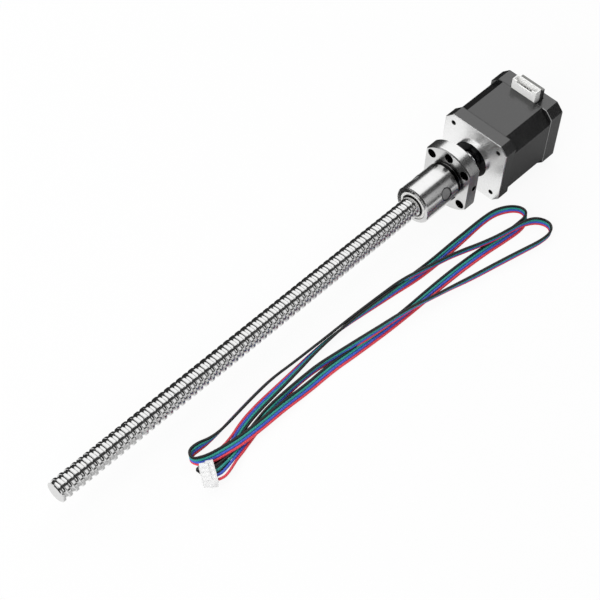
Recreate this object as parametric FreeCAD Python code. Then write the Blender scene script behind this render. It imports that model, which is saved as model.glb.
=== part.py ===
import FreeCAD, Part
import math
import os

# Ball screw stepper motor, in millimetres.
# The origin is the centre of the motor's mounting face.
# +X runs along the screw to its free end, +Z is up through the socket on the rear cap.

Vector = FreeCAD.Vector
ORIGIN = Vector(0, 0, 0)
ALONG = Vector(1, 0, 0)
UP = Vector(0, 0, 1)

# Motor frame
motor_width = 42.3
motor_corner = 4.5
corner_softness = 1.0
front_cap_length = 8.0
stack_length = 30.0
rear_cap_length = 10.0
pilot_diameter = 22.0
pilot_height = 2.0
pilot_gap = 0.6
hole_inset = 5.65
thread_diameter = 3.0
thread_depth = 4.5
cap_edge = 0.3
hub_wall = 3.0
coil_pocket_room = 1.0
front_pocket_depth = 3.6
rear_pocket_depth = 6.5
rear_opening = 7.0

# Tie screws
tie_shank_diameter = 2.9
tie_clearance_diameter = 3.3
tie_head_diameter = 5.5
tie_head_height = 3.0
tie_recess_diameter = 6.2
tie_recess_depth = 3.4
tie_key = 2.5
tie_key_depth = 1.5
tie_thread_diameter = 2.5
tie_thread_grip = 3.0

# Stator and rotor
stack_inset = 0.15
stack_corner = 7.5
pole_count = 8
teeth_per_pole = 6
rotor_teeth = 50
tooth_share = 0.45
tooth_depth = 0.6
yoke_thickness = 3.2
slot_room = 1.1
shoe_thickness = 1.35
air_gap = 0.15
neck_width = 4.0
rotor_end_gap = 0.5
magnet_length = 2.5
cup_recess_depth = 2.0
cup_rim = 2.0
cup_hub_wall = 2.5

# Windings and their end bobbins
bobbin_plate = 0.5
bobbin_wall_height = 3.0
bobbin_wall = 0.8
bobbin_lip_width = 8.0
coil_build = 2.0
coil_depth = 2.6
coil_gap = 0.1
coil_corner = 1.5

# Screw and shaft, one piece
screw_diameter = 11.7
screw_start = 3.0
screw_end = 298.0
screw_tip_bevel = 0.5
screw_lead = 4.0
shaft_diameter = 8.0
collar_shoulder = 0.9
tail_diameter = 5.0
tail_stop = 1.5
spacer_wall = 1.5

# Bearings
bearing_diameter = 16.0
bearing_width = 5.0
bearing_lip = 1.0
front_ball = 2.4
rear_ball = 2.6
ball_count = 7
race_share = 0.42
shield_thickness = 0.25
shield_recess = 0.3
cage_thickness = 0.8
cage_finger_share = 0.25
washer_thickness = 0.3
washer_wave = 0.3
washer_waves = 3

# Ball nut
nut_start = 14.0
nut_length = 35.0
nut_flange = 8.0
nut_diameter = 22.0
nut_bore_gap = 0.4
nut_hole_margin = 5.0
nut_rim = 4.0
nut_flat_margin = 4.0
nut_relief_width = 2.0
nut_relief_depth = 0.5
nut_edge = 0.6
nut_seam_angle = 18.0
nut_hole_diameter = 5.5
nut_hole_angles = (45, 90, 135, 225, 270, 315)
oil_hole_diameter = 3.2
oil_hole_setback = 2.4
wiper_gap = 0.3
wiper_wall = 2.35
wiper_width = 2.4
wiper_recess = 0.2
deflector_count = 3
deflector_diameter = 7.5
deflector_recess = 0.35
deflector_offset = 11.4
deflector_angle = 26.0

# Socket on the rear cap
socket_width = 16.0
socket_height = 6.5
socket_root = 2.4
socket_depth = 4.6
socket_setback = 0.2
socket_wall = 0.8
socket_mouth_depth = 6.0
socket_window_width = 10.4
socket_window_depth = 1.8
socket_gap = 0.6
pin_count = 4
pin_pitch = 2.0
pin_side = 0.5
pin_setback = 2.8
pin_foot_height = 1.2
pin_grip = 1.2
board_width = 15.2
board_shift = 1.6
board_foot_gap = 1.8

# Loose lead: a flat four-wire ribbon drawn as a round tube of the same section area
lead_diameter = 2.8
arc_share = 0.45
way_count = 4
white_plug_size = (7.0, 12.3, 5.6)
white_plug_place = (234.2, 35.6)
white_plug_yaw = -31.5
white_plug_pitch = 2.5
white_plug_cavity = 1.9
black_plug_size = (14.0, 10.2, 2.6)
black_plug_place = (227.4, 32.0)
black_plug_yaw = 6.0
black_plug_pitch = 2.4
black_plug_cavity = 1.6
contact_play = 0.15
contact_length = 6.0
plug_straight = 5.0
# The route between the two plugs: x, y and the height of its centre above the floor
lead_route = (
    (209.5, 28.7, 1.4),
    (199.5, 25.8, 1.4),
    (184.0, 23.8, 1.4),
    (152.0, 22.5, 1.4),
    (108.0, 20.9, 1.4),
    (62.0, 24.7, 1.4),
    (35.0, 24.0, 1.4),
    (18.0, 23.9, 1.4),
    (7.0, 25.4, 1.4),
    (-0.6, 29.2, 1.4),
    (-5.0, 33.6, 1.4),
    (-4.9, 38.0, 1.4),
    (-0.6, 40.6, 1.4),
    (7.0, 40.6, 1.4),
    (18.0, 39.3, 1.4),
    (34.0, 37.6, 1.4),
    (60.0, 36.6, 1.4),
    (99.0, 35.5, 1.4),
    (141.0, 33.2, 1.4),
    (163.0, 33.1, 1.7),
    (180.0, 32.7, 4.3),
    (196.0, 31.6, 4.7),
    (210.0, 29.9, 4.6),
    (220.5, 28.1, 4.6),
    (226.4, 26.8, 4.6),
    (231.9, 26.0, 4.6),
    (234.2, 23.8, 4.6),
    (234.2, 20.8, 4.6),
    (231.9, 18.6, 4.4),
    (226.2, 18.3, 3.8),
    (217.5, 20.3, 2.4),
    (206.0, 20.2, 1.5),
    (189.0, 17.6, 1.4),
    (166.0, 16.8, 1.6),
    (146.0, 18.1, 3.4),
    (124.0, 20.0, 4.7),
    (93.0, 22.0, 4.7),
    (67.0, 25.2, 4.6),
    (53.0, 28.2, 3.6),
    (41.0, 32.2, 3.5),
    (30.0, 35.6, 4.5),
    (17.5, 39.2, 4.7),
    (5.5, 41.9, 4.6),
    (-3.6, 44.4, 2.8),
    (-8.2, 48.4, 1.4),
    (-8.0, 53.2, 1.4),
    (-3.4, 56.0, 1.4),
    (4.5, 55.6, 1.4),
    (15.0, 53.0, 1.4),
    (34.0, 48.2, 1.4),
    (64.0, 41.4, 2.4),
    (83.0, 38.5, 4.6),
    (103.0, 35.8, 4.8),
    (126.0, 31.8, 4.0),
    (149.0, 28.3, 1.6),
    (164.0, 27.1, 1.4),
    (178.0, 28.1, 1.4),
    (191.0, 31.0, 1.4),
    (203.5, 34.8, 1.4),
    (213.0, 37.2, 2.0),
    (220.5, 39.6, 3.6),
)

# Fits: gaps on the radius between pieces pressed together, and between rolling pieces
press_gap = 0.02
race_gap = 0.06
cage_gap = 0.12
shield_gap = 0.25

# Stations worked out from the sizes above
floor = -motor_width / 2
motor_top = motor_width / 2
stack_front = -front_cap_length
stack_rear = stack_front - stack_length
motor_rear = stack_rear - rear_cap_length
front_bearing_end = -bearing_lip
front_bearing_start = front_bearing_end - bearing_width
rear_bearing_end = stack_rear - rotor_end_gap
rear_bearing_start = rear_bearing_end - bearing_width
rear_pocket_floor = stack_rear - rear_pocket_depth
tail_end = motor_rear + tail_stop
rotor_front = stack_front - rotor_end_gap
rotor_rear = stack_rear + 2 * rotor_end_gap
magnet_rear = (rotor_front + rotor_rear - magnet_length) / 2
magnet_front = magnet_rear + magnet_length
nut_end = nut_start + nut_length
barrel_start = nut_start + nut_flange
deflector_station = barrel_start + deflector_offset
socket_front = stack_rear - socket_setback
socket_rear = socket_front - socket_depth
socket_top = motor_top + socket_height
board_rear = rear_pocket_floor
board_low = board_shift - board_width / 2
board_high = board_shift + board_width / 2

# Sizes that follow from the ones they fit
hole_spacing = motor_width - 2 * hole_inset
collar_diameter = shaft_diameter + 2 * collar_shoulder
pilot_opening = collar_diameter + 2 * pilot_gap
hub_diameter = bearing_diameter + 2 * hub_wall
board_foot_height = hub_diameter / 2 + board_foot_gap
slot_radius = motor_width / 2 - stack_inset - yoke_thickness
coil_pocket_diameter = 2 * (slot_radius + coil_pocket_room)
coil_outer_radius = slot_radius - slot_room
coil_inner_radius = coil_outer_radius - coil_depth
shoe_back_radius = coil_inner_radius - coil_gap
stator_bore_radius = shoe_back_radius - shoe_thickness
rotor_radius = stator_bore_radius - air_gap
cup_recess_outer = rotor_radius - cup_rim
cup_recess_inner = shaft_diameter / 2 + cup_hub_wall
spacer_diameter = shaft_diameter + 2 * spacer_wall
nut_bore = screw_diameter + 2 * nut_bore_gap
wiper_bore = screw_diameter + 2 * wiper_gap
wiper_diameter = wiper_bore + 2 * wiper_wall
nut_hole_circle = nut_diameter + 2 * nut_hole_margin
nut_flange_diameter = nut_hole_circle + 2 * nut_rim
nut_flats = nut_diameter + 2 * nut_flat_margin


def save(node, *pieces):
    """Write one node, as a single solid or as a group of equal ones."""
    shape = pieces[0]
    if len(pieces) > 1:
        shape = Part.makeCompound(list(pieces))
    shape.exportStep(os.path.join("parts", node + ".step"))


def disc(radius, start, end):
    return Part.makeCylinder(radius, end - start, Vector(start, 0, 0), ALONG)


def ring(outer_radius, inner_radius, start, end):
    return disc(outer_radius, start, end).cut(disc(inner_radius, start, end))


def block(low, high):
    size = Vector(*high) - Vector(*low)
    return Part.makeBox(size.x, size.y, size.z, Vector(*low))


def around(radius, degrees, x=0.0):
    """A point at a radius and an angle about the screw's axis, counted from +Y to +Z."""
    angle = math.radians(degrees)
    return Vector(x, radius * math.cos(angle), radius * math.sin(angle))


def prism(points, start, end):
    """Extrude a closed outline, drawn at x = 0, between two stations."""
    face = Part.Face(Part.makePolygon(list(points) + [points[0]]))
    face.translate(Vector(start, 0, 0))
    return face.extrude(Vector(end - start, 0, 0))


def square_body(width, corner, start, end):
    """A square prism with its corners cut at 45 degrees and softened."""
    half = width / 2
    near = half - corner
    outline = ((near, half), (-near, half), (-half, near), (-half, -near),
               (-near, -half), (near, -half), (half, -near), (half, near))
    body = prism([Vector(0, y, z) for y, z in outline], start, end)
    length = abs(end - start)
    corners = [edge for edge in body.Edges if abs(edge.BoundBox.XLength - length) < 1e-6]
    return body.makeFillet(corner_softness, corners)


def eased(body, x, edge):
    """Bevel the outer edges of a body's end face at one station."""
    end = [face for face in body.Faces if face.BoundBox.XMin > x - 1e-6 and face.BoundBox.XMax < x + 1e-6]
    return body.makeChamfer(edge, end[0].OuterWire.Edges)


def corner_points(x):
    """The four hole centres of the motor's square pattern."""
    half = hole_spacing / 2
    return [Vector(x, y, z) for y in (-half, half) for z in (-half, half)]


def corner_holes(diameter, start, end):
    return [Part.makeCylinder(diameter / 2, end - start, point, ALONG) for point in corner_points(start)]


def turned(profile):
    """Revolve an outline of (station, radius) pairs about the screw's axis."""
    points = [Vector(x, radius, 0) for x, radius in profile]
    face = Part.Face(Part.makePolygon(points + [points[0]]))
    return face.revolve(ORIGIN, ALONG, 360)


# Motor housing


def front_end_cap():
    cap = eased(square_body(motor_width, motor_corner, stack_front, 0.0), 0.0, cap_edge)
    cap = eased(cap, stack_front, cap_edge)
    cap = cap.fuse(eased(disc(pilot_diameter / 2, 0.0, pilot_height), pilot_height, cap_edge))
    cap = cap.cut(disc(pilot_opening / 2, stack_front, pilot_height))
    cap = cap.cut(disc(bearing_diameter / 2 + press_gap, stack_front, front_bearing_end))
    pocket = ring(coil_pocket_diameter / 2, hub_diameter / 2, stack_front, stack_front + front_pocket_depth)
    holes = corner_holes(thread_diameter, -thread_depth, 0.0)
    holes += corner_holes(tie_thread_diameter + 2 * press_gap, stack_front, -thread_depth)
    return cap.cut([pocket] + holes).removeSplitter()


def rear_end_cap():
    cap = eased(square_body(motor_width, motor_corner, motor_rear, stack_rear), motor_rear, cap_edge)
    cap = eased(cap, stack_rear, cap_edge)
    pocket = ring(coil_pocket_diameter / 2, hub_diameter / 2, rear_pocket_floor, stack_rear)
    seat = disc(bearing_diameter / 2 + press_gap, rear_pocket_floor, stack_rear)
    opening = disc(rear_opening / 2, motor_rear, stack_rear)
    notch_low = min(-socket_width / 2, board_low) - socket_gap
    notch_high = max(socket_width / 2, board_high) + socket_gap
    notch = block((board_rear, notch_low, board_foot_height), (stack_rear, notch_high, socket_top))
    recesses = corner_holes(tie_recess_diameter, motor_rear, motor_rear + tie_recess_depth)
    passages = corner_holes(tie_clearance_diameter, motor_rear, stack_rear)
    return cap.cut([pocket, seat, opening, notch] + recesses + passages).removeSplitter()


def tie_screws():
    """Four long screws from the rear cap into the narrow ends of the front cap's holes."""
    seat = motor_rear + tie_recess_depth
    end = stack_front + tie_thread_grip
    key_radius = tie_key / math.sqrt(3)
    screws = []
    for point in corner_points(0.0):
        head = disc(tie_head_diameter / 2, seat - tie_head_height, seat)
        shank = disc(tie_shank_diameter / 2, seat, stack_front)
        screw = head.fuse([shank, disc(tie_thread_diameter / 2, stack_front, end)])
        key = [around(key_radius, 60 * side) for side in range(6)]
        top = seat - tie_head_height
        screw = screw.cut(prism(key, top, top + tie_key_depth))
        screw.translate(point)
        screws.append(screw)
    return screws


# Stator, windings and rotor


def pole_outline(centre):
    """The inner outline of one toothed stator pole, from slot to slot."""
    pitch = 360.0 / rotor_teeth
    half_tooth = pitch * tooth_share / 2
    first = centre - pitch * (teeth_per_pole - 1) / 2
    edge = pitch * (teeth_per_pole - 1) / 2 + half_tooth
    foot = math.degrees(math.asin(neck_width / 2 / slot_radius))
    ankle = math.degrees(math.asin(neck_width / 2 / shoe_back_radius))
    points = [around(slot_radius, centre - foot), around(shoe_back_radius, centre - ankle),
              around(shoe_back_radius, centre - edge)]
    for tooth in range(teeth_per_pole):
        middle = first + pitch * tooth
        if tooth:
            points.append(around(stator_bore_radius + tooth_depth, middle - half_tooth))
        points.append(around(stator_bore_radius, middle - half_tooth))
        points.append(around(stator_bore_radius, middle + half_tooth))
        if tooth < teeth_per_pole - 1:
            points.append(around(stator_bore_radius + tooth_depth, middle + half_tooth))
    points += [around(shoe_back_radius, centre + edge), around(shoe_back_radius, centre + ankle),
               around(slot_radius, centre + foot)]
    return points


def stator_stack():
    """Laminated stack: a square outside, eight toothed poles and their slots inside."""
    step = 360.0 / pole_count
    edges = []
    for pole in range(pole_count):
        points = pole_outline(step * pole)
        edges += [Part.LineSegment(a, b).toShape() for a, b in zip(points, points[1:])]
        slot_middle = around(slot_radius, step * (pole + 0.5))
        next_start = pole_outline(step * (pole + 1))[0]
        edges.append(Part.Arc(points[-1], slot_middle, next_start).toShape())
    opening = Part.Face(Part.Wire(edges))
    opening.translate(Vector(stack_rear, 0, 0))
    stack = square_body(motor_width - 2 * stack_inset, stack_corner, stack_rear, stack_front)
    stack = stack.cut(opening.extrude(Vector(stack_length, 0, 0)))
    return stack.cut(corner_holes(tie_clearance_diameter, stack_rear, stack_front))


def at_poles(piece):
    """Copies of a piece drawn at the +Y pole, one at each pole."""
    copies = []
    for pole in range(pole_count):
        copy = piece.copy()
        copy.rotate(ORIGIN, ALONG, 360.0 / pole_count * pole)
        copies.append(copy)
    return copies


def coil_bobbin(face, outward):
    """Moulded end ring of the windings: a plate arm and a lip at each pole, a wall round the outside."""
    plate_end = face + outward * bobbin_plate
    wall_end = face + outward * bobbin_wall_height
    half_arm = neck_width / 2 + bobbin_plate / 2
    wall_radius = coil_pocket_diameter / 2 - bobbin_wall / 2
    lip_start = coil_inner_radius - bobbin_wall
    low, high = sorted((face, wall_end))
    body = ring(wall_radius, wall_radius - bobbin_wall, low, high)
    lip = block((low, lip_start, -bobbin_lip_width / 2),
                (high, coil_inner_radius - press_gap, bobbin_lip_width / 2))
    low, high = sorted((face, plate_end))
    arm = block((low, lip_start, -half_arm), (high, wall_radius - bobbin_wall / 2, half_arm))
    return body.fuse(at_poles(arm) + at_poles(lip)).removeSplitter()


def stator_windings():
    """Eight coils, each wound round one pole and its two bobbin arms."""
    half_inner = neck_width / 2 + bobbin_plate / 2 + press_gap
    half_outer = half_inner + coil_build
    inner_rear = stack_rear - bobbin_plate - press_gap
    inner_front = stack_front + bobbin_plate + press_gap
    coil = block((inner_rear - coil_build, coil_inner_radius, -half_outer),
                 (inner_front + coil_build, coil_outer_radius, half_outer))
    depth = coil_outer_radius - coil_inner_radius
    corners = [edge for edge in coil.Edges if abs(edge.BoundBox.YLength - depth) < 1e-6]
    coil = coil.makeFillet(coil_corner, corners)
    coil = coil.cut(block((inner_rear, 0, -half_inner), (inner_front, slot_radius, half_inner)))
    return at_poles(coil)


def rotor_cup(start, end, tooth_offset, recess_start):
    """A toothed rotor cup, hollowed on its outer face."""
    pitch = 360.0 / rotor_teeth
    half_tooth = pitch * tooth_share / 2
    root = rotor_radius - tooth_depth
    points = []
    for tooth in range(rotor_teeth):
        middle = pitch * (tooth + tooth_offset)
        points += [around(root, middle - half_tooth), around(rotor_radius, middle - half_tooth),
                   around(rotor_radius, middle + half_tooth), around(root, middle + half_tooth)]
    cup = prism(points, start, end)
    cup = cup.cut(disc(shaft_diameter / 2 + press_gap, start, end))
    recess = ring(cup_recess_outer, cup_recess_inner, recess_start, recess_start + cup_recess_depth)
    return cup.cut(recess)


def rotor_magnet():
    radius = rotor_radius - tooth_depth
    return ring(radius, shaft_diameter / 2 + press_gap, magnet_rear, magnet_front)


def rotor_spacer():
    """Sleeve that holds the rotor off the front bearing's inner ring."""
    return ring(spacer_diameter / 2, shaft_diameter / 2 + press_gap, rotor_front, front_bearing_start)


def ball_screw():
    """Motor shaft and screw in one bar, at the crest diameter of its raceway."""
    tail = tail_diameter / 2
    shaft = shaft_diameter / 2
    collar = collar_diameter / 2
    screw = screw_diameter / 2
    return turned((
        (tail_end, 0), (tail_end, tail), (rear_bearing_end, tail), (rear_bearing_end, shaft),
        (front_bearing_end, shaft), (front_bearing_end, collar), (screw_start, collar), (screw_start, screw),
        (screw_end - screw_tip_bevel, screw), (screw_end, screw - screw_tip_bevel), (screw_end, 0)))


# Bearings


def bearing(name, bore, ball, start):
    """A shielded ball bearing: two rings, two shields, a cage and its balls."""
    middle = start + bearing_width / 2
    end = start + bearing_width
    pitch_radius = (bore + bearing_diameter) / 4
    inner_land = pitch_radius - ball * race_share
    outer_land = pitch_radius + ball * race_share
    race = Part.makeTorus(pitch_radius, ball / 2 + race_gap, Vector(middle, 0, 0), ALONG)
    save(name + "_outer_ring", ring(bearing_diameter / 2, outer_land, start, end).cut(race))
    save(name + "_inner_ring", ring(inner_land, bore / 2 + press_gap, start, end).cut(race))
    near = start + shield_recess
    far = end - shield_recess - shield_thickness
    shields = [ring(outer_land - press_gap, inner_land + shield_gap, x, x + shield_thickness) for x in (near, far)]
    save(name + "_shields", *shields)
    angles = [360.0 / ball_count * number for number in range(ball_count)]
    save(name + "_balls", *[Part.makeSphere(ball / 2, around(pitch_radius, angle, middle)) for angle in angles])
    cage_start = near + shield_thickness + cage_gap
    cage = ring(pitch_radius + cage_thickness / 2, pitch_radius - cage_thickness / 2,
                cage_start, middle + ball * cage_finger_share)
    pockets = [Part.makeCylinder(ball / 2 + cage_gap, bearing_diameter / 2, Vector(middle, 0, 0), around(1.0, angle))
               for angle in angles]
    save(name + "_cage", cage.cut(pockets))


def wave_washer():
    """Thin three-wave spring washer that preloads the rear bearing."""
    outer = bearing_diameter / 2 - shield_recess
    inner = (bearing_diameter + tail_diameter) / 4
    crest = rear_bearing_start - washer_thickness - press_gap
    samples = 8 * washer_waves
    rims = []
    for radius in (outer, inner):
        points = []
        for sample in range(samples):
            angle = 360.0 * sample / samples
            wave = math.cos(math.radians(angle * washer_waves))
            points.append(around(radius, angle, crest - washer_wave * (1 - wave) / 2))
        rim = Part.BSplineCurve()
        rim.interpolate(points, PeriodicFlag=True)
        rims.append(rim.toShape())
    return Part.makeRuledSurface(rims[0], rims[1]).extrude(Vector(washer_thickness, 0, 0))


# Ball nut


def deflector_places():
    """Station and angle of each ball return, one for each circuit of balls."""
    step = 360.0 / deflector_count
    places = []
    for number in range(deflector_count):
        along = (number - 1) * screw_lead * (1 + 1 / deflector_count)
        places.append((deflector_station + along, deflector_angle + (number - 1) * step))
    return places


def deflector_bar(radius, station, degrees):
    base = Vector(station, 0, 0)
    return Part.makeCylinder(radius, nut_diameter, base, around(1.0, degrees))


def nut_body():
    bore = nut_bore / 2
    flange = nut_flange_diameter / 2
    barrel = nut_diameter / 2
    relief = barrel - nut_relief_depth
    relief_end = barrel_start + nut_relief_width
    body = turned((
        (nut_start, bore), (nut_start, flange - nut_edge), (nut_start + nut_edge, flange),
        (barrel_start - nut_edge, flange), (barrel_start, flange - nut_edge), (barrel_start, relief),
        (relief_end, relief), (relief_end + nut_relief_depth, barrel),
        (nut_end - nut_edge, barrel), (nut_end, barrel - nut_edge), (nut_end, bore)))
    # the seam of the turned faces stays clear of the deflector holes
    body.rotate(ORIGIN, ALONG, nut_seam_angle)
    seat = wiper_diameter / 2 + press_gap
    seat_depth = wiper_width + wiper_recess
    cuts = [disc(seat, nut_start, nut_start + seat_depth), disc(seat, nut_end - seat_depth, nut_end)]
    for side in (-1, 1):
        near, far = sorted((side * nut_flats / 2, side * nut_flange_diameter))
        cuts.append(block((nut_start, near, -nut_flange_diameter), (barrel_start, far, nut_flange_diameter)))
    for angle in nut_hole_angles:
        place = around(nut_hole_circle / 2, angle, nut_start)
        cuts.append(Part.makeCylinder(nut_hole_diameter / 2, nut_flange, place, ALONG))
    oil_place = Vector(nut_start + oil_hole_setback, 0, 0)
    cuts.append(Part.makeCylinder(oil_hole_diameter / 2, nut_flange_diameter, oil_place, Vector(0, 1, 0)))
    cuts += [deflector_bar(deflector_diameter / 2 + press_gap, *place) for place in deflector_places()]
    return body.cut(cuts)


def ball_deflectors():
    """Round plugs that turn the balls from the end of a circuit back to its start."""
    sleeve = ring(nut_diameter / 2 - deflector_recess, nut_bore / 2, nut_start, nut_end)
    return [sleeve.common(deflector_bar(deflector_diameter / 2, *place)) for place in deflector_places()]


def wiper(start):
    return ring(wiper_diameter / 2, wiper_bore / 2, start, start + wiper_width)


# Socket, its pins and the terminal board


def pin_places():
    first = -pin_pitch * (pin_count - 1) / 2
    return [first + pin_pitch * number for number in range(pin_count)]


def bent_pins(side, back, tip):
    """Pins that stand in the socket's mouth, each with a leg bent back into the board."""
    half = side / 2
    middle = (socket_front + socket_rear) / 2
    foot = motor_top - socket_root + pin_foot_height
    pins = []
    for y in pin_places():
        stem = block((middle - half, y - half, foot - half), (middle + half, y + half, tip))
        leg = block((back, y - half, foot - half), (middle + half, y + half, foot + half))
        pins.append(stem.fuse(leg).removeSplitter())
    return pins


def socket_housing():
    """White shrouded header with its mouth upwards and a window in the wall towards the screw."""
    half = socket_width / 2
    body = block((socket_rear, -half, motor_top - socket_root), (socket_front, half, socket_top))
    inner = half - socket_wall
    mouth = block((socket_rear + socket_wall, -inner, socket_top - socket_mouth_depth),
                  (socket_front - socket_wall, inner, socket_top))
    window = block((socket_front - socket_wall, -socket_window_width / 2, socket_top - socket_window_depth),
                   (socket_front, socket_window_width / 2, socket_top))
    return body.cut([mouth, window] + bent_pins(pin_side + 2 * press_gap, socket_rear, socket_top))


def socket_pins():
    return bent_pins(pin_side, socket_rear - pin_grip, socket_top - pin_setback)


def terminal_board():
    """Board that stands behind the socket, against the cap, and carries the pins."""
    board = block((board_rear, board_low, board_foot_height), (socket_rear, board_high, socket_top))
    return board.cut(bent_pins(pin_side + 2 * press_gap, board_rear, socket_top))


# Loose lead and its two plugs


def plug_pieces(size, pitch, cavity):
    """A crimp housing and its contacts, drawn along +X with the mating end at +X and the base at z = 0."""
    length, width, height = size
    housing = block((-length / 2, -width / 2, 0), (length / 2, width / 2, height))
    first = -pitch * (way_count - 1) / 2
    contact = cavity - 2 * contact_play
    cavities = []
    contacts = []
    for way in range(way_count):
        y = first + pitch * way
        for pieces, side, half_length in ((cavities, cavity, length / 2), (contacts, contact, contact_length / 2)):
            low = (-half_length, y - side / 2, (height - side) / 2)
            high = (half_length, y + side / 2, (height + side) / 2)
            pieces.append(block(low, high))
    return [housing.cut(cavities)] + contacts


def laid(pieces, place, yaw, height):
    """Turn pieces about the vertical and set them down at a height above the floor."""
    for piece in pieces:
        piece.rotate(ORIGIN, UP, yaw)
        piece.translate(Vector(place[0], place[1], floor + height))
    return pieces


def plug_entry(size, place, yaw, height):
    """A point out on the axis of a plug's wire end, and the middle of that end."""
    angle = math.radians(yaw)
    axis = Vector(math.cos(angle), math.sin(angle), 0)
    end = Vector(place[0], place[1], floor + height) - axis * (size[0] / 2)
    return end - axis * plug_straight, end


def lead_tube(points):
    """Tube along straight runs joined by tangent arcs, each as large as its two runs allow."""
    edges = []
    radii = []
    last = points[0]
    for before, corner, after in zip(points, points[1:], points[2:]):
        back = before - corner
        ahead = after - corner
        reach = arc_share * min(back.Length, ahead.Length)
        half_turn = (math.pi - back.getAngle(ahead)) / 2
        radius = reach / math.tan(half_turn)
        back.normalize()
        ahead.normalize()
        inward = back + ahead
        inward.normalize()
        start = corner + back * reach
        middle = corner + inward * (radius / math.cos(half_turn) - radius)
        end = corner + ahead * reach
        edges.append(Part.LineSegment(last, start).toShape())
        edges.append(Part.Arc(start, middle, end).toShape())
        radii.append(round(radius, 1))
        last = end
    edges.append(Part.LineSegment(last, points[-1]).toShape())
    path = Part.Wire(edges)
    section = Part.Wire(Part.makeCircle(lead_diameter / 2, points[0], points[1] - points[0]))
    tube = path.makePipeShell([section], True, False)
    swept = path.Length * math.pi * lead_diameter ** 2 / 4
    print("lead length", round(path.Length, 1), "volume over section times length", round(tube.Volume / swept, 5))
    print("lead radii", radii)
    return tube


def lead():
    white_base = black_plug_size[2]
    white = laid(plug_pieces(white_plug_size, white_plug_pitch, white_plug_cavity),
                 white_plug_place, white_plug_yaw, white_base)
    black = laid(plug_pieces(black_plug_size, black_plug_pitch, black_plug_cavity),
                 black_plug_place, black_plug_yaw, 0.0)
    save("white_plug_housing", white[0])
    save("white_plug_contacts", *white[1:])
    save("black_plug_housing", black[0])
    save("black_plug_contacts", *black[1:])
    black_out, black_end = plug_entry(black_plug_size, black_plug_place, black_plug_yaw, lead_diameter / 2)
    white_out, white_end = plug_entry(white_plug_size, white_plug_place, white_plug_yaw,
                                      white_base + white_plug_size[2] / 2)
    route = [Vector(x, y, floor + height) for x, y, height in lead_route]
    save("lead_ribbon", lead_tube([black_end, black_out] + route + [white_out, white_end]))


os.makedirs("parts", exist_ok=True)
save("front_end_cap", front_end_cap())
save("rear_end_cap", rear_end_cap())
save("tie_screws", *tie_screws())
save("stator_stack", stator_stack())
save("front_coil_bobbin", coil_bobbin(stack_front, 1))
save("rear_coil_bobbin", coil_bobbin(stack_rear, -1))
save("stator_windings", *stator_windings())
save("rotor_rear_cup", rotor_cup(rotor_rear, magnet_rear, 0.0, rotor_rear))
save("rotor_front_cup", rotor_cup(magnet_front, rotor_front, 0.5, rotor_front - cup_recess_depth))
save("rotor_magnet", rotor_magnet())
save("rotor_spacer", rotor_spacer())
save("ball_screw", ball_screw())
bearing("front_bearing", shaft_diameter, front_ball, front_bearing_start)
bearing("rear_bearing", tail_diameter, rear_ball, rear_bearing_start)
save("wave_washer", wave_washer())
save("nut_body", nut_body())
save("ball_deflectors", *ball_deflectors())
save("rear_wiper", wiper(nut_start + wiper_recess))
save("front_wiper", wiper(nut_end - wiper_recess - wiper_width))
save("socket_housing", socket_housing())
save("socket_pins", *socket_pins())
save("terminal_board", terminal_board())
lead()
print("nut travel per radian of the screw, mm", round(-screw_lead / (2 * math.pi), 6))
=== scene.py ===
"""Ball screw stepper motor with its loose four-wire lead, set as in the photograph."""
import math
import bmesh
import bpy
from mathutils import Matrix, Vector


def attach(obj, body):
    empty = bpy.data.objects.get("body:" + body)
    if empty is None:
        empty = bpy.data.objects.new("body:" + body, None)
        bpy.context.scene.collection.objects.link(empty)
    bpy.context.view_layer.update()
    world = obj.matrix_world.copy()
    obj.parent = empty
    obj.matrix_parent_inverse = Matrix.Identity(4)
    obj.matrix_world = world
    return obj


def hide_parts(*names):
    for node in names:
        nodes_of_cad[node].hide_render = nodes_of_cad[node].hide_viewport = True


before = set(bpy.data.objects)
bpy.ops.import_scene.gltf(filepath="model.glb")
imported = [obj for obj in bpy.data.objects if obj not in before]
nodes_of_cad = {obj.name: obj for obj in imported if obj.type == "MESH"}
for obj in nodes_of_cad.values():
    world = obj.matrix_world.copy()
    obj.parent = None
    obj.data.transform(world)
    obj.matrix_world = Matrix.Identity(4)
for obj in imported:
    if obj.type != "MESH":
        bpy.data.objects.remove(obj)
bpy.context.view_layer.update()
scene = bpy.context.scene
scene.view_settings.view_transform = "Standard"

# One millimetre in metres: sizes are in millimetres, except where a comment says metres
mm = 0.001
bench = -21.15

# Camera, where the photograph was taken from, in metres
camera_data = bpy.data.cameras.new("photo_camera")
camera_data.lens = 104.467
camera_data.sensor_width = 36
camera = bpy.data.objects.new("photo_camera", camera_data)
camera.location = (0.542354, 0.347696, 0.694368)
camera.rotation_mode = "QUATERNION"
camera.rotation_quaternion = (0.366082, 0.145068, 0.287076, 0.873228)
scene.collection.objects.link(camera)
scene.camera = camera


# Finishes: heights of relief are in metres, and a grain's fineness is in grains to the metre
grain_detail = 3.0
grain_roughness = 0.55
grain_span = (0.3, 0.7)


def bare_finish(name, metallic=0.0, roughness=0.5):
    """A new material and its main shader."""
    finish = bpy.data.materials.new(name)
    finish.use_nodes = True
    shader = finish.node_tree.nodes["Principled BSDF"]
    shader.inputs["Metallic"].default_value = metallic
    shader.inputs["Roughness"].default_value = roughness
    return finish, shader


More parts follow.
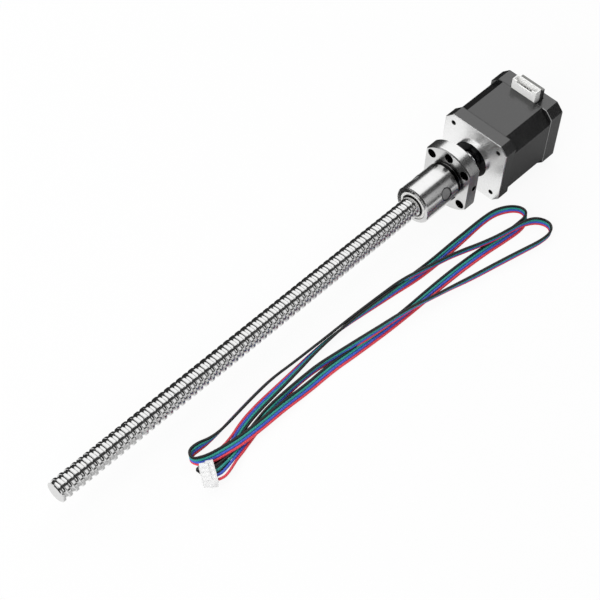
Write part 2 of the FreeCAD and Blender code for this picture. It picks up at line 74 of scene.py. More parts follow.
def place_on(finish, stretch=(1, 1, 1), centre=(0, 0, 0), turn=(0, 0, 0)):
    """Object coordinates, centred, turned and stretched for a pattern."""
    tree = finish.node_tree
    where = tree.nodes.new("ShaderNodeTexCoord")
    fit = tree.nodes.new("ShaderNodeMapping")
    fit.inputs["Location"].default_value = centre
    fit.inputs["Rotation"].default_value = turn
    fit.inputs["Scale"].default_value = stretch
    tree.links.new(where.outputs["Object"], fit.inputs["Vector"])
    return fit.outputs["Vector"]


def speckle(finish, where, fineness):
    """A grain of noise."""
    grain = finish.node_tree.nodes.new("ShaderNodeTexNoise")
    grain.inputs["Scale"].default_value = fineness
    grain.inputs["Detail"].default_value = grain_detail
    grain.inputs["Roughness"].default_value = grain_roughness
    finish.node_tree.links.new(where, grain.inputs["Vector"])
    return grain.outputs["Fac"]


def blend_range(finish, grain, low, high):
    """A value that goes from low to high with a grain."""
    spread = finish.node_tree.nodes.new("ShaderNodeMapRange")
    spread.inputs["From Min"].default_value = grain_span[0]
    spread.inputs["From Max"].default_value = grain_span[1]
    spread.inputs["To Min"].default_value = low
    spread.inputs["To Max"].default_value = high
    finish.node_tree.links.new(grain, spread.inputs["Value"])
    return spread.outputs["Result"]


def two_tone(finish, grain, first, second):
    """A colour that goes from first to second with a grain."""
    ramp = finish.node_tree.nodes.new("ShaderNodeValToRGB")
    for number, colour in enumerate((first, second)):
        ramp.color_ramp.elements[number].position = grain_span[number]
        ramp.color_ramp.elements[number].color = (*colour, 1)
    finish.node_tree.links.new(grain, ramp.inputs["Fac"])
    return ramp.outputs["Color"]


def raise_by(finish, shader, grain, height, strength):
    """Surface relief that follows a grain."""
    relief = finish.node_tree.nodes.new("ShaderNodeBump")
    relief.inputs["Distance"].default_value = height
    relief.inputs["Strength"].default_value = strength
    finish.node_tree.links.new(grain, relief.inputs["Height"])
    finish.node_tree.links.new(relief.outputs["Normal"], shader.inputs["Normal"])


def surface(finish, shader, colour, grain, roughness, height=0.00001, strength=0.5):
    """Give a shader its colour, and gloss and relief that follow a grain."""
    link = finish.node_tree.links.new
    link(colour, shader.inputs["Base Color"])
    link(blend_range(finish, grain, *roughness), shader.inputs["Roughness"])
    raise_by(finish, shader, grain, height, strength)
    return finish


def grained(name, first, second, fineness, stretch=(1, 1, 1), metallic=0.0, ior=1.5, **touch):
    """A finish with one grain that turns colour, gloss and relief together."""
    finish, shader = bare_finish(name, metallic)
    shader.inputs["IOR"].default_value = ior
    grain = speckle(finish, place_on(finish, stretch), fineness)
    return surface(finish, shader, two_tone(finish, grain, first, second), grain, **touch)


def vector_step(finish, kind, value, other=None):
    """One step of arithmetic on a place."""
    node = finish.node_tree.nodes.new("ShaderNodeVectorMath")
    node.operation = kind
    finish.node_tree.links.new(value, node.inputs[0])
    if other is not None:
        node.inputs[1].default_value = other
    return node.outputs["Value" if kind == "LENGTH" else "Vector"]


def off_axis(finish, where, place, square_to):
    """Distance from an axis: a place on it, and 1 for each direction square to it."""
    offset = vector_step(finish, "SUBTRACT", where, [value * mm for value in place])
    return vector_step(finish, "LENGTH", vector_step(finish, "MULTIPLY", offset, square_to))


def sides_of(finish, where):
    """The x, y and z of a place."""
    split = finish.node_tree.nodes.new("ShaderNodeSeparateXYZ")
    finish.node_tree.links.new(where, split.inputs[0])
    return split.outputs


def reckon(finish, value, kind, other):
    """One step of arithmetic on a value, with a number or with another value."""
    node = finish.node_tree.nodes.new("ShaderNodeMath")
    node.operation = kind
    finish.node_tree.links.new(value, node.inputs[0])
    if isinstance(other, float):
        node.inputs[1].default_value = other
    else:
        finish.node_tree.links.new(other, node.inputs[1])
    return node.outputs[0]


def past(finish, value, limit):
    """1 where a value is past a limit."""
    return reckon(finish, value, "GREATER_THAN", limit * mm)


def under(finish, value, limit):
    """1 where a value is under a limit."""
    return reckon(finish, value, "LESS_THAN", limit * mm)


def both(finish, first, second):
    """1 where two values are 1."""
    return reckon(finish, first, "MULTIPLY", second)


def either(finish, first, second):
    """1 where one of two values is 1."""
    return reckon(finish, first, "MAXIMUM", second)


def between(finish, value, low, high):
    """1 where a value lies between two limits."""
    return both(finish, past(finish, value, low), under(finish, value, high))


def mixed(finish, share, first, second):
    """A colour that is first where the share is 0 and second where it is 1."""
    mix = finish.node_tree.nodes.new("ShaderNodeMix")
    mix.data_type = "RGBA"
    finish.node_tree.links.new(share, mix.inputs["Factor"])
    for socket, colour in ((mix.inputs[6], first), (mix.inputs[7], second)):
        if isinstance(colour, tuple):
            socket.default_value = (*colour, 1)
        else:
            finish.node_tree.links.new(colour, socket)
    return mix.outputs[2]


# Stretches that shape a grain, mostly into lines, and the fineness that goes with them
drawn_out = 1
turned_lines = (9000, 120, 120)
rolled_grain = (1500, 1500, 1500)
punched_lines = (2000, 400, 400)
painted_lines = (2000, 160, 160)
wound_lines = (900, 3000, 3000)
brushed_lines = (900, 5200, 700)

paint_gloss = (0.18, 0.26)
face_gloss = (0.26, 0.31)
paint_height = 0.000004
metal_height = 0.000002
wire_grain = 900
wire_gloss = (0.26, 0.36)

stack_black = grained(
    "stack_black_paint", (0.005, 0.005, 0.0052), (0.010, 0.010, 0.0103), drawn_out, painted_lines,
    ior=1.8, roughness=paint_gloss, height=paint_height)
rolled_steel = grained(
    "rolled_screw_steel", (0.64, 0.64, 0.64), (0.74, 0.74, 0.735), drawn_out, rolled_grain,
    metallic=1.0, roughness=(0.10, 0.17), height=metal_height, strength=0.15)
bearing_steel = grained(
    "bearing_steel", (0.58, 0.58, 0.57), (0.70, 0.70, 0.69), drawn_out, turned_lines,
    metallic=1.0, roughness=(0.14, 0.24), height=metal_height, strength=0.3)
rotor_steel = grained(
    "rotor_steel", (0.30, 0.30, 0.31), (0.42, 0.42, 0.42), drawn_out, punched_lines,
    metallic=1.0, roughness=(0.35, 0.5))
magnet_grey = grained(
    "magnet_grey", (0.10, 0.10, 0.105), (0.17, 0.17, 0.17), fineness=1500,
    metallic=0.6, roughness=(0.4, 0.55))
screw_black = grained(
    "black_oxide_screws", (0.02, 0.02, 0.021), (0.05, 0.05, 0.052), fineness=2500,
    metallic=0.5, roughness=(0.3, 0.45))
bobbin_plastic = grained(
    "bobbin_plastic", (0.70, 0.68, 0.62), (0.78, 0.76, 0.70), fineness=900, roughness=(0.45, 0.6))
winding_copper = grained(
    "winding_copper", (0.50, 0.20, 0.08), (0.72, 0.33, 0.14), drawn_out, wound_lines,
    metallic=1.0, roughness=(0.25, 0.4), height=0.00004)
socket_white = grained(
    "socket_white_nylon", (0.90, 0.90, 0.885), (0.95, 0.95, 0.94), fineness=1200,
    roughness=(0.38, 0.5))
contact_tin = grained(
    "tinned_contacts", (0.55, 0.54, 0.52), (0.70, 0.69, 0.66), fineness=3000,
    metallic=1.0, roughness=(0.2, 0.35))
plug_white = grained(
    "plug_white_nylon", (0.80, 0.80, 0.80), (0.86, 0.86, 0.86), fineness=1200,
    roughness=(0.3, 0.45))
plug_black = grained(
    "plug_black_nylon", (0.010, 0.010, 0.0105), (0.02, 0.02, 0.0205), fineness=1500,
    roughness=(0.4, 0.5))
wire_black = grained(
    "wire_black", (0.008, 0.008, 0.008), (0.014, 0.014, 0.014), wire_grain, roughness=wire_gloss)
wire_green = grained(
    "wire_green", (0.020, 0.28, 0.23), (0.034, 0.36, 0.30), wire_grain, roughness=wire_gloss)
wire_blue = grained(
    "wire_blue", (0.045, 0.10, 0.55), (0.065, 0.13, 0.66), wire_grain, roughness=wire_gloss)
wire_red = grained(
    "wire_red", (0.74, 0.05, 0.075), (0.84, 0.07, 0.10), wire_grain, roughness=wire_gloss)
pin_shade = grained(
    "shaded_pins", (0.05, 0.05, 0.05), (0.09, 0.09, 0.088), fineness=3000,
    metallic=1.0, roughness=(0.25, 0.4))
# Near-black for the threads in the face's holes: painted shade of the holes, darker than the bare
# metal
shaded_thread_metal = grained(
    "cut_thread_metal", (0.035, 0.035, 0.035), (0.075, 0.075, 0.074), drawn_out, turned_lines,
    metallic=1.0, roughness=(0.22, 0.34), height=metal_height, strength=0.3)

# Places and sizes on the CAD pieces that their finishes follow
on_axis = (0, 0, 0)
square_to_x = (0, 1, 1)
square_to_y = (1, 0, 1)
hole_margin = 0.02
# The nut's holes, its oil hole and the groove at the barrel's root get near-black painted shade
nut_hole_radius = 2.75
nut_hole_places = ((0, 11.314, 11.314), (0, 0, 16))
nut_groove = (22.05, 24.0)
nut_groove_radii = (9.0, 10.9)
oil_hole_place = (16.4, 0, 0)
oil_hole_radius = 1.6
oil_hole_from = 7.0
deflector_radius = 3.75
# Width of the ring of painted shade round each deflector's rim
deflector_rim = 0.75
deflector_axes = ((28.067, -94), (33.4, 26), (38.733, 146))
# Radii between which the wiper keeps its white; inside and outside them it gets near-black painted
# shade
wiper_unshaded_radii = (6.85, 8.25)
board_edge_from = 27.6
# Where the rear cap's edge gets a pale band of painted highlight: between two x, on the +y side
# only
highlit_edge = (-38.32, -38.03)
highlit_from = 14.0
bare_face = (-0.34, 1.72)

paint_dark = (0.008, 0.008, 0.0083)
paint_light = (0.015, 0.015, 0.0155)
paint_grain = 2600
cap_ior = 1.85


def nut_finish():
    """Turned steel, with near-black painted shade in the flange's holes, the oil hole and the
    groove at the barrel's root.
    """
    finish, shader = bare_finish("ground_nut_steel", metallic=1.0)
    where = place_on(finish)
    sides = sides_of(finish, where)
    in_oil_hole = under(finish, off_axis(finish, where, oil_hole_place, square_to_y),
                        oil_hole_radius + hole_margin)
    dark = both(finish, in_oil_hole, past(finish, sides["Y"], oil_hole_from))
    sunk = between(finish, off_axis(finish, where, on_axis, square_to_x), *nut_groove_radii)
    at_root = between(finish, sides["X"], *nut_groove)
    dark = either(finish, dark, both(finish, sunk, at_root))
    folded = vector_step(finish, "ABSOLUTE", where)
    for place in nut_hole_places:
        near = off_axis(finish, folded, place, square_to_x)
        dark = either(finish, dark, under(finish, near, nut_hole_radius + hole_margin))
    lines = speckle(finish, place_on(finish, turned_lines), drawn_out)
    steel = two_tone(finish, lines, (0.66, 0.66, 0.66), (0.78, 0.78, 0.775))
    # Near-black painted shade in the holes and in the groove at the barrel's root
    colour = mixed(finish, dark, steel, (0.012, 0.012, 0.012))
    return surface(finish, shader, colour, lines, (0.18, 0.26), metal_height, strength=0.1)


def deflector_finish():
    """Sintered grey, with a near-black ring of painted shade round the rim where it sits in its
    hole.
    """
    finish, shader = bare_finish("deflector_grey")
    nearest = None
    for station, degrees in deflector_axes:
        turned = place_on(finish, centre=(-station * mm, 0, 0),
                          turn=(-math.radians(degrees), 0, 0))
        near = off_axis(finish, turned, on_axis, square_to_y)
        nearest = near if nearest is None else reckon(finish, nearest, "MINIMUM", near)
    # Near-black ring of painted shade round the rim, where the deflector sits in its hole
    rim = past(finish, nearest, deflector_radius - deflector_rim)
    grain = speckle(finish, place_on(finish), fineness=2200)
    grey = two_tone(finish, grain, (0.17, 0.17, 0.17), (0.26, 0.26, 0.26))
    colour = mixed(finish, rim, grey, (0.015, 0.015, 0.015))
    return surface(finish, shader, colour, grain, (0.40, 0.55))


def wiper_finish():
    """White plastic ring, with near-black painted shade at its rubbing lip and at its outer seam.
    """
    finish, shader = bare_finish("wiper_white")
    where = place_on(finish)
    unshaded = between(finish, off_axis(finish, where, on_axis, square_to_x), *wiper_unshaded_radii)
    grain = speckle(finish, where, fineness=1500)
    white = two_tone(finish, grain, (0.74, 0.74, 0.72), (0.82, 0.82, 0.80))
    # Near-black painted shade at the inner lip and at the outer seam
    painted_shade_colour = two_tone(finish, grain, (0.012, 0.012, 0.012), (0.03, 0.03, 0.03))
    return surface(finish, shader, mixed(finish, unshaded, painted_shade_colour, white), grain, (0.35, 0.50))


def board_finish():
    """Dark solder mask, with the pale cut edge of the board along its top."""
    finish, shader = bare_finish("dark_board")
    where = place_on(finish)
    edge = past(finish, sides_of(finish, where)["Z"], board_edge_from)
    grain = speckle(finish, where, fineness=2000)
    mask = two_tone(finish, grain, (0.012, 0.012, 0.0125), (0.025, 0.025, 0.026))
    fibre = two_tone(finish, grain, (0.16, 0.16, 0.155), (0.26, 0.26, 0.25))
    return surface(finish, shader, mixed(finish, edge, mask, fibre), grain, (0.40, 0.55))


def rear_paint():
    """Rear cap: black paint, with a pale painted highlight along the edge that meets the stack, on
    its +y side.
    """
    finish, shader = bare_finish("cap_black_paint")
    shader.inputs["IOR"].default_value = cap_ior
    where = place_on(finish)
    sides = sides_of(finish, where)
    highlit = both(finish, between(finish, sides["X"], *highlit_edge),
                  past(finish, sides["Y"], highlit_from))
    grain = speckle(finish, where, paint_grain)
    black = two_tone(finish, grain, paint_dark, paint_light)
    # Pale painted highlight along the edge that meets the stack
    highlight_colour = two_tone(finish, grain, (0.20, 0.20, 0.20), (0.32, 0.32, 0.32))
    colour = mixed(finish, highlit, black, highlight_colour)
    return surface(finish, shader, colour, grain, paint_gloss, paint_height, strength=0.4)


def face_and_paint():
    """Front cap: face and boss wall bare and bright, outer sides and the boss's end black."""
    finish, shader = bare_finish("cap_face_and_paint")
    shader.inputs["IOR"].default_value = cap_ior
    link = finish.node_tree.links.new
    where = place_on(finish)
    along = sides_of(finish, where)["X"]
    bare = between(finish, along, *bare_face)
    brushed = speckle(finish, place_on(finish, brushed_lines), drawn_out)
    grain = speckle(finish, where, paint_grain)
    silver = two_tone(finish, brushed, (0.95, 0.95, 0.95), (0.98, 0.98, 0.975))
    black = two_tone(finish, grain, paint_dark, paint_light)
    link(mixed(finish, bare, black, silver), shader.inputs["Base Color"])
    link(past(finish, along, bare_face[0]), shader.inputs["Metallic"])
    gloss = finish.node_tree.nodes.new("ShaderNodeMix")
    link(bare, gloss.inputs["Factor"])
    link(blend_range(finish, grain, *paint_gloss), gloss.inputs[2])
    link(blend_range(finish, brushed, *face_gloss), gloss.inputs[3])
    link(gloss.outputs[0], shader.inputs["Roughness"])
    raise_by(finish, shader, grain, paint_height, strength=0.25)
    return finish


nut_steel = nut_finish()
deflector_grey = deflector_finish()
wiper_white = wiper_finish()
board_dark = board_finish()
cap_black = rear_paint()
cap_face = face_and_paint()

# Handling of meshes: cuts and merges in metres
fine_cut = 0.000001
merge_reach = 0.000004


def let_go():
    """Leave edit mode with nothing selected."""
    if bpy.context.object and bpy.context.object.mode != "OBJECT":
        bpy.ops.object.mode_set(mode="OBJECT")
    bpy.ops.object.select_all(action="DESELECT")


def edit_pick(piece, verts=None, faces=None):
    """In edit mode, select what answers a test on its place, and nothing else."""
    shape = bmesh.from_edit_mesh(piece.data)
    for part in (shape.verts, shape.edges, shape.faces):
        for item in part:
            item.select = False
    bpy.context.tool_settings.mesh_select_mode = (bool(verts), False, bool(faces))
    if verts:
        for vert in shape.verts:
            vert.select = bool(verts(vert.co))
    if faces:
        for face in shape.faces:
            if faces(face.calc_center_median(), face.normal):
                face.select_set(True)
    shape.select_flush_mode()
    bmesh.update_edit_mesh(piece.data)


def slice_at(place, square, **leaving):
    """Cut the whole of the piece in edit mode at a plane, taking away only what is asked."""
    bpy.ops.mesh.select_all(action="SELECT")
    bpy.ops.mesh.bisect(plane_co=[value * mm for value in place], plane_no=square,
                        threshold=fine_cut, **leaving)


def pull(piece, by, **test):
    """Extrude the points or faces that answer a test."""
    edit_pick(piece, **test)
    bpy.ops.mesh.extrude_region_move(
        TRANSFORM_OT_translate={"value": [value * mm for value in by]})


def round_profile(name, corners, radius, along, out):
    """A new piece that is a ring of edges, standing in the plane of the screw's axis."""
    let_go()
    bpy.ops.mesh.primitive_circle_add(
        vertices=corners, radius=radius * mm, fill_type="NOTHING",
        location=(along * mm, 0, out * mm), rotation=(math.pi / 2, 0, 0))
    bpy.ops.object.transform_apply(location=True, rotation=True, scale=True)
    profile = bpy.context.object
    profile.name = name
    return profile


def sweep_round(piece, pitch, turns, steps):
    """Sweep a profile round the X axis into a helix, join its turns and stay in edit mode."""
    sweep = piece.modifiers.new("helix", "SCREW")
    sweep.axis = "X"
    sweep.angle = 2 * math.pi
    sweep.screw_offset = pitch * mm
    sweep.iterations = turns
    sweep.steps = steps
    sweep.render_steps = steps
    sweep.use_merge_vertices = False
    bpy.ops.object.modifier_apply(modifier="helix")
    bpy.ops.object.mode_set(mode="EDIT")
    bpy.ops.mesh.select_all(action="SELECT")
    bpy.ops.mesh.remove_doubles(threshold=merge_reach)


def settle(piece, angle=35):
    """Merge doubles, turn faces outwards and smooth all but sharp edges."""
    let_go()
    piece.select_set(True)
    bpy.context.view_layer.objects.active = piece
    bpy.ops.object.mode_set(mode="EDIT")
    bpy.ops.mesh.select_all(action="SELECT")
    bpy.ops.mesh.remove_doubles(threshold=merge_reach)
    bpy.ops.mesh.normals_make_consistent(inside=False)
    bpy.ops.object.mode_set(mode="OBJECT")
    bpy.ops.object.transform_apply(location=True, rotation=True, scale=True)
    bpy.ops.object.shade_smooth_by_angle(angle=math.radians(angle))


def dress(piece, *finishes):
    """Give a piece its finishes in place of any it has."""
    piece.data.materials.clear()
    for finish in finishes:
        piece.data.materials.append(finish)


# Lead: four wires side by side, on a route laid over the bench and itself
# Each row: x and y, height of the middle over the bench, and the degrees that the black edge
# leans from upright towards +y
lead_rows = (
    (220.44, 31.27, 1.4, 90), (215.47, 30.75, 1.4, 90), (209.5, 28.4, 1.2, 85),
    (200, 25.4, 1.5, 78), (188, 23.6, 1.6, 76), (174, 22.7, 1.9, 66), (160, 21.8, 2.3, 53),
    (147, 20.7, 2.7, 42), (134, 20.2, 2.9, 33), (121, 20.3, 2.9, 20), (108, 21.1, 2.8, 4),
    (95, 22.3, 2.9, -8), (82, 23.3, 2.7, -24), (69, 24.1, 1.9, -60), (55, 24.5, 1.8, -62),
    (42, 24.5, 2.3, -48), (30, 24.6, 2.8, -30), (18, 24.4, 2.9, -18), (8, 25.2, 2.9, -15),
    (0.4, 28.6, 2.9, -12), (-4.2, 33.2, 2.8, 0), (-4.1, 37.8, 2.8, 0), (0, 40.4, 2.9, -20),
    (7, 40.6, 1.8, -65), (18, 39.3, 0.95, -85), (34, 37.4, 1.4, -75), (60, 36.2, 2.0, -60),
    (99, 35.9, 0.8, -88), (129, 34.2, 1.6, -70), (145, 32.9, 2.0, -60), (163, 33.1, 2.2, -55),
    (180, 33, 4.3, -55), (195.2, 33.2, 4.8, -58), (209.2, 32.8, 5.1, -60),
    (219.9, 31.2, 5.2, -60), (226.4, 29.8, 5.0, -58), (231.2, 27.6, 4.8, -45),
    (233.6, 24.9, 4.6, -10), (233.6, 22.3, 4.6, -8), (231, 20.4, 4.5, -28),
    (226.2, 20.4, 4.2, -32), (219.8, 21.4, 3.8, 5), (212, 21, 3.2, 22), (203.3, 19.9, 2.9, 26),
    (187.2, 18, 2.9, 26), (171.7, 16.8, 2.9, 26), (158.2, 17.6, 2.9, 26), (145, 18, 2.9, 26),
    (132.6, 18.4, 2.9, 26), (120, 18.6, 2.9, 25), (107, 19.2, 3.0, 22), (94, 20.2, 3.4, 18),
    (82, 21.5, 4.6, 15), (71, 24.4, 5.6, 12), (60, 26.9, 5.0, 12), (50, 28.7, 4.4, 12),
    (41, 31.4, 4.2, 12), (32, 34.8, 4.4, 12), (22, 38, 4.8, 10), (12.5, 40, 5.0, 8),
    (4, 41.8, 5.0, 2), (-3, 44.2, 3.6, -8), (-6.6, 48.4, 2.8, 0), (-6.5, 53, 2.8, 0),
    (-2.4, 55.8, 2.8, 8), (6, 55.6, 2.9, 12), (18, 52.8, 2.9, 8), (34.8, 49, 2.9, 6),
    (51, 45.6, 2.9, 8), (64, 42.4, 3.2, 16), (75, 40.5, 4.2, 20), (86, 38.2, 4.9, 15),
    (98, 36.2, 5.0, 5), (110, 34.9, 4.9, -5), (122, 32.9, 4.2, -12), (138, 30, 3.0, -12),
    (150, 28, 2.8, -4), (160.5, 27.7, 2.8, -2), (170, 27.9, 2.8, -8), (179, 28.6, 2.6, -28),
    (190, 29.7, 1.3, -78), (199, 31.3, 1.2, -82), (207, 33.2, 1.4, -82), (213, 34.9, 2.1, -84),
    (219, 36.5, 3.6, -88), (225.5, 37.9, 5.2, -90), (229.8, 38.3, 5.4, -90),
    (231.22, 37.43, 5.4, -90))
line_steps = 12
wire_count = 4
middle_wire = (wire_count - 1) / 2
wire_radius = 0.70
wire_sides = 12
wire_pitch = 1.35
plug_pitch = 2.5
fan_length = 16.0
lead_half_width = 2.8


def spline_points(points):
    """Points along the smooth line that a row of route points steers."""
    line = bpy.data.curves.new("lead_line", "CURVE")
    line.dimensions = "3D"
    line.resolution_u = line_steps
    spline = line.splines.new("NURBS")
    spline.points.add(len(points) - 1)
    for knot, point in zip(spline.points, points):
        knot.co = (*point, 1)
    spline.order_u = 3
    spline.use_endpoint_u = True
    holder = bpy.data.objects.new("lead_line", line)
    run = bpy.data.meshes.new_from_object(holder)
    found = [vert.co.copy() for vert in run.vertices]
    bpy.data.meshes.remove(run)
    bpy.data.objects.remove(holder)
    bpy.data.curves.remove(line)
    return found


def fan_pitch(from_end):
    """Pitch of the wires, in metres: together along the lead, parted at the ways of a plug."""
    share = max(0.0, 1.0 - from_end / (fan_length * mm))
    share = share * share * (3 - 2 * share)
    return (wire_pitch + share * (plug_pitch - wire_pitch)) * mm


def four_wire_lead():
    """The lead as one mesh of four wires, the line it follows and that line's length."""
    middle = []
    black_edge = []
    for x, y, height, lean in lead_rows:
        tilt = math.radians(lean)
        up = Vector((0, math.sin(tilt), math.cos(tilt)))
        middle.append(Vector((x, y, bench + height)) * mm)
        black_edge.append(middle[-1] + lead_half_width * mm * up)
    path = spline_points(middle)
    edge = spline_points(black_edge)
    count = len(path)
    reach = [0.0]
    for before, after in zip(path, path[1:]):
        reach.append(reach[-1] + (after - before).length)
    corners = []
    sides = []
    wire_of_side = []
    for wire in range(wire_count):
        first = len(corners)
        for at in range(count):
            along = (path[min(at + 1, count - 1)] - path[max(at - 1, 0)]).normalized()
            across = edge[at] - path[at]
            across = (across - across.dot(along) * along).normalized()
            out = along.cross(across)
            pitch = fan_pitch(min(reach[at], reach[-1] - reach[at]))
            centre = path[at] + (middle_wire - wire) * pitch * across
            for step in range(wire_sides):
                turn = 2 * math.pi * step / wire_sides
                around = math.cos(turn) * across + math.sin(turn) * out
                corners.append(centre + wire_radius * mm * around)
        for at in range(count - 1):
            near = first + at * wire_sides
            far = near + wire_sides
            for step in range(wire_sides):
                following = (step + 1) % wire_sides
                sides.append((near + step, near + following, far + following, far + step))
                wire_of_side.append(wire)
        last = first + (count - 1) * wire_sides
        sides.append(tuple(range(first + wire_sides - 1, first - 1, -1)))
        sides.append(tuple(range(last, last + wire_sides)))
        wire_of_side.extend((wire, wire))
    shape = bpy.data.meshes.new("four_wire_lead")
    shape.from_pydata(corners, [], sides)
    lead = bpy.data.objects.new("four_wire_lead", shape)
    scene.collection.objects.link(lead)
    dress(lead, wire_black, wire_green, wire_blue, wire_red)
    for face, wire in zip(shape.polygons, wire_of_side):
        face.material_index = wire
    settle(lead, angle=60)
    return lead, path, reach[-1]


# Plugs: how squarely a face has to face a direction to be picked, and the sizes both share
facing = 0.9
end_margin = 0.01
mating_depth = 1.6
entry_depth = 2.0
rib_share = 0.4
moulded_edge = 0.12


def crimp_plug(name, finish, size, pitch, cavity, nose, shrink, window, place, yaw, base):
    """A four-way plug along +X: body, ribbed narrower nose, wire entries, mating holes and
    contact windows, which are given by their two ends and their depth."""
    length, width, height = size
    window_start, window_stop, window_depth = window
    tip = length / 2
    ways = [pitch * (number - middle_wire) for number in range(wire_count)]
    let_go()
    bpy.ops.mesh.primitive_cube_add(size=1)
    plug = bpy.context.object
    plug.name = name
    bpy.ops.object.mode_set(mode="EDIT")
    bpy.ops.transform.resize(value=((length - nose) * mm, width * mm, height * mm))
    bpy.ops.transform.translate(value=(-nose / 2 * mm, 0, height / 2 * mm))
    for way in ways:
        slice_at((0, way - cavity / 2, 0), (0, 1, 0))
        slice_at((0, way + cavity / 2, 0), (0, 1, 0))
    slice_at((0, 0, (height - cavity) / 2), (0, 0, 1))
    slice_at((0, 0, (height + cavity) / 2), (0, 0, 1))
    slice_at((window_start, 0, 0), (1, 0, 0))
    slice_at((window_stop, 0, 0), (1, 0, 0))

    def in_way(at):
        return any(abs(at.y - way * mm) < cavity / 2 * mm for way in ways)

    def in_hole(at):
        return in_way(at) and abs(at.z - height / 2 * mm) < cavity / 2 * mm

    def on_nose(at):
        return (abs(at.y) < (width / 2 - shrink) * mm
                and shrink * mm < at.z < (height - shrink) * mm)

    def between_ways(at):
        return at.x > (tip - nose) * mm and not in_way(at)

    def at_mouth(at):
        return at.x > (tip - end_margin) * mm and in_hole(at)

    def in_window(at):
        return in_way(at) and window_start * mm < at.x < window_stop * mm

    if nose:
        edit_pick(plug, faces=lambda at, square: square.x > facing)
        bpy.ops.mesh.inset(thickness=shrink * mm)
        pull(plug, (nose, 0, 0), faces=lambda at, square: square.x > facing and on_nose(at))
        pull(plug, (0, 0, shrink * rib_share),
             faces=lambda at, square: square.z > facing and between_ways(at))
    pull(plug, (-mating_depth, 0, 0),
         faces=lambda at, square: square.x > facing and at_mouth(at))
    pull(plug, (entry_depth, 0, 0),
         faces=lambda at, square: square.x < -facing and in_hole(at))
    pull(plug, (0, 0, -window_depth),
         faces=lambda at, square: square.z > facing and in_window(at))
    bpy.ops.object.mode_set(mode="OBJECT")
    soft = plug.modifiers.new("moulded_edges", "BEVEL")
    soft.width = moulded_edge * mm
    soft.segments = 2
    soft.limit_method = "ANGLE"
    soft.angle_limit = math.radians(40)
    bpy.ops.object.modifier_apply(modifier="moulded_edges")
    plug.rotation_euler = (0, 0, math.radians(yaw))
    plug.location = (place[0] * mm, place[1] * mm, (bench + base) * mm)
    settle(plug)
    dress(plug, finish)
    return plug


white_plug = crimp_plug(
    "white_crimp_plug", plug_white, size=(7.0, 12.3, 5.6), pitch=plug_pitch, cavity=1.9,
    nose=3.2, shrink=0.55, window=(-2.4, -0.7, 0.35), place=(234.2, 35.6), yaw=-31.5, base=2.6)
black_plug = crimp_plug(
    "black_crimp_plug", plug_black, size=(14.0, 10.2, 2.6), pitch=2.4, cavity=1.6,
    nose=0.0, shrink=0.0, window=(-0.5, 2.6, 0.45), place=(227.4, 32.0), yaw=6.0, base=0.0)
for plug, node, slot in ((white_plug, "white_plug_housing", "plug_white"),
                         (black_plug, "black_plug_housing", "plug_black")):
    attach(plug, "motor")
    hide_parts(node)

lead, lead_path, lead_length = four_wire_lead()
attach(lead, "motor")
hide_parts("lead_ribbon")


# Threads in the four holes of the motor's face
face_hole_corners = ((-1, -1), (-1, 1), (1, -1), (1, 1))
face_hole_spot = 15.5
face_hole_radius = 1.5
thread_depth = 0.35
thread_ridge = 0.23
thread_pitch = 0.5
thread_turns = 8
thread_steps = 20
ridge_corners = 4


def hole_thread():
    """A thread's ridge on the wall of a hole, from just inside the face."""
    ridge = round_profile("face_hole_thread", ridge_corners, thread_ridge,
                          -thread_depth - thread_pitch * thread_turns, face_hole_radius)
    sweep_round(ridge, thread_pitch, thread_turns, thread_steps)
    bpy.ops.mesh.select_all(action="SELECT")
    bpy.ops.mesh.fill_holes(sides=ridge_corners)
    bpy.ops.object.mode_set(mode="OBJECT")
    return ridge


threads = [hole_thread()]
while len(threads) < len(face_hole_corners):
    thread = threads[0].copy()
    thread.data = threads[0].data.copy()
    scene.collection.objects.link(thread)
    threads.append(thread)
for number, (thread, (side, level)) in enumerate(zip(threads, face_hole_corners), start=1):
    thread.name = f"face_hole_thread_{number}"
    spot = (0, side * face_hole_spot * mm, level * face_hole_spot * mm)
    thread.data.transform(Matrix.Translation(spot))
    settle(thread)
    dress(thread, shaded_thread_metal)
    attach(thread, "motor")

# Ball screw with its rolled raceway
screw_lead = 4.0
screw_turns = 78
screw_start = 3.0
screw_end = 298.0
crest_radius = 5.85
land_bevel = 0.09
groove_radius = 1.31
groove_centre_radius = 6.15
groove_start = -3.889
groove_corners = 28
raceway_steps = 36
pick_margin = 0.02
tip_bevel = 0.5
root_radius = 4.9
shaft_corners = 48
# Each step of the shaft behind the raceway: how far along, and the radius there
shaft_steps = ((-1.0, root_radius), (-1.0, 4.0), (-38.5, 4.0), (-38.5, 2.5), (-46.2, 2.5),
               (-46.5, 2.2))


def bevel_tip(screw):
    """Draw in the rim of the screw's end face."""
    shape = bmesh.from_edit_mesh(screw.data)
    tip_radius = (crest_radius - tip_bevel) * mm
    for vert in shape.verts:
        radius = math.hypot(vert.co.y, vert.co.z)
        if vert.co.x > (screw_end - end_margin) * mm and radius > tip_radius:
            vert.co.y *= tip_radius / radius
            vert.co.z *= tip_radius / radius
    bmesh.update_edit_mesh(screw.data)


def turn_shaft():
    """In edit mode, add the stepped shaft from the raceway's start to its closed rear end."""
    bpy.ops.mesh.select_all(action="DESELECT")
    bpy.ops.mesh.primitive_circle_add(
        vertices=shaft_corners, radius=root_radius * mm, fill_type="NOTHING",
        location=(screw_start * mm, 0, 0), rotation=(0, math.pi / 2, 0))
    place_now = screw_start
    radius_now = root_radius
    for place, radius in shaft_steps:
        bpy.ops.mesh.extrude_edges_move(
            TRANSFORM_OT_translate={"value": ((place - place_now) * mm, 0, 0)})
        growth = radius / radius_now
        bpy.ops.transform.resize(value=(1, growth, growth), center_override=(place * mm, 0, 0))
        place_now = place
        radius_now = radius
    bpy.ops.mesh.edge_face_add()


